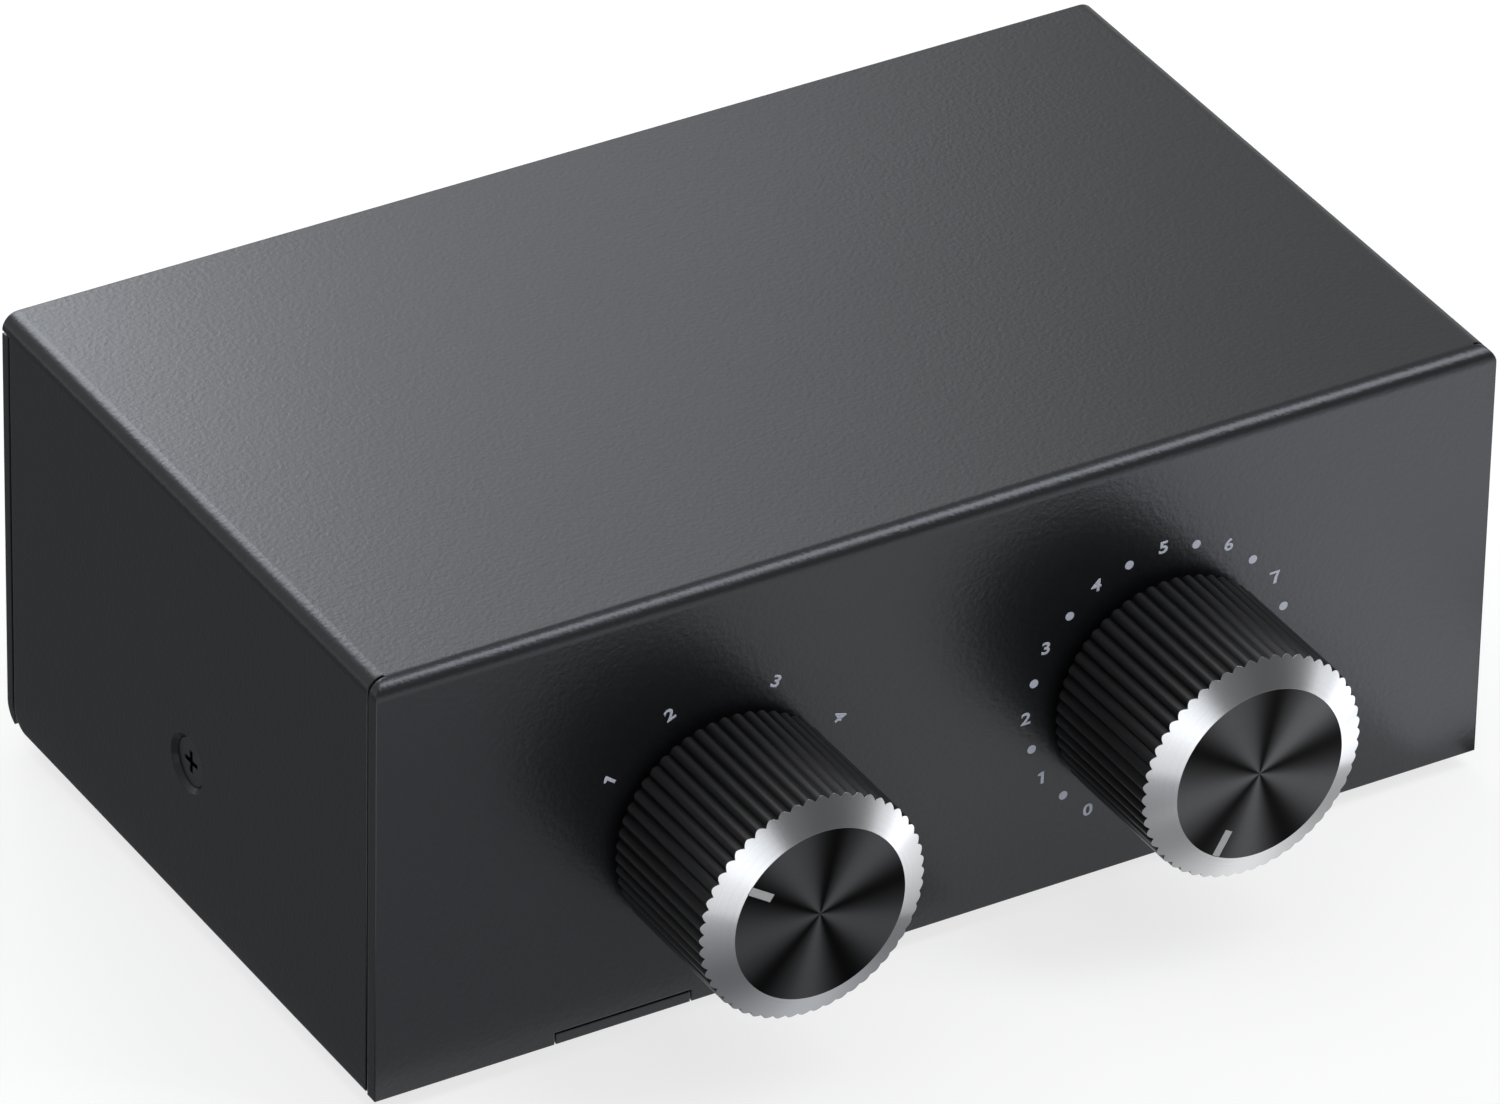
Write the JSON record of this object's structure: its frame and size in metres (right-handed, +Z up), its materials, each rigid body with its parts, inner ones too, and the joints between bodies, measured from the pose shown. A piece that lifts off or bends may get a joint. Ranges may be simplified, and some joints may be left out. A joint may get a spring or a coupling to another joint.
{
  "type": "audio source selector",
  "caption": "Passive stereo line-level source selector: folded sheet box with a rotary source knob and a volume knob in front, and phono sockets behind.",
  "frame": {"origin": "under the middle of the whole object, knobs and sockets included, on the surface that the feet stand on", "axes": "+X to the right as seen from the front, +Y from the knobs to the sockets, +Z up"},
  "size_m": [0.128, 0.1056, 0.0505],
  "materials": {
    "powder_coat": "fine-textured satin black powder coat",
    "black_screw": "black oxide",
    "foot_rubber": "matt",
    "zinc_steel": "zinc plated",
    "polished_steel": "polished",
    "cast_metal": "die cast",
    "board_green": "glass-fibre laminate, solder resist",
    "black_plastic": "moulded",
    "white_plastic": "moulded",
    "red_plastic": "moulded",
    "brown_laminate": "paper laminate",
    "contact_brass": "tinned",
    "shaft_aluminium": "turned",
    "black_anodised": "black anodised, bright cut bevel",
    "pale_fill": "paint fill",
    "nickel": "nickel plated"
  },
  "bodies": {
    "case": {"cover": "powder_coat", "base_chassis": "powder_coat", "side_screws": "black_screw", "rubber_feet": "foot_rubber", "board_standoffs": "zinc_steel", "main_board": "board_green", "board_screws": "zinc_steel", "switch_washer": "zinc_steel", "switch_nut": "zinc_steel", "pot_washer": "zinc_steel", "pot_nut": "zinc_steel", "switch_frame": "cast_metal", "detent_ball": "polished_steel", "detent_spring": "polished_steel", "switch_housing": "black_plastic", "switch_terminals": "contact_brass", "pot_frame": "cast_metal", "pot_front_wafer": "brown_laminate", "pot_rear_wafer": "brown_laminate", "pot_can": "zinc_steel", "pot_terminals": "contact_brass", "jack_screws": "black_screw", "jack_housing_1": "black_plastic", "jack_sleeves_1": "nickel", "jack_contacts_1": "nickel", "jack_right_insert_1": "red_plastic", "jack_left_insert_1": "white_plastic", "jack_housing_2": "black_plastic", "jack_sleeves_2": "nickel", "jack_contacts_2": "nickel", "jack_right_insert_2": "red_plastic", "jack_left_insert_2": "white_plastic", "jack_housing_3": "black_plastic", "jack_sleeves_3": "nickel", "jack_contacts_3": "nickel", "jack_right_insert_3": "red_plastic", "jack_left_insert_3": "white_plastic", "jack_housing_4": "black_plastic", "jack_sleeves_4": "nickel", "jack_contacts_4": "nickel", "jack_right_insert_4": "red_plastic", "jack_left_insert_4": "white_plastic", "jack_housing_5": "black_plastic", "jack_sleeves_5": "nickel", "jack_contacts_5": "nickel", "jack_right_insert_5": "red_plastic", "jack_left_insert_5": "white_plastic"},
    "selector": {"selector_shaft": "shaft_aluminium", "switch_rotor": "white_plastic", "switch_wipers": "contact_brass", "selector_knob_shell": "black_anodised", "selector_knob_core": "black_plastic", "selector_pointer": "pale_fill"},
    "volume": {"volume_shaft": "shaft_aluminium", "pot_rotors": "white_plastic", "pot_wipers": "contact_brass", "volume_knob_shell": "black_anodised", "volume_knob_core": "black_plastic", "volume_pointer": "pale_fill"}
  },
  "joints": [
    {"name": "selector_turn", "type": "hinge", "parent": "case", "child": "selector", "pos_m": [-0.0252, -0.0337, 0.023], "axis": [0, 1, 0], "range_deg": [0, 117]},
    {"name": "volume_turn", "type": "hinge", "parent": "case", "child": "volume", "pos_m": [0.0252, -0.0337, 0.023], "axis": [0, 1, 0], "range_deg": [0, 300]}
  ]
}
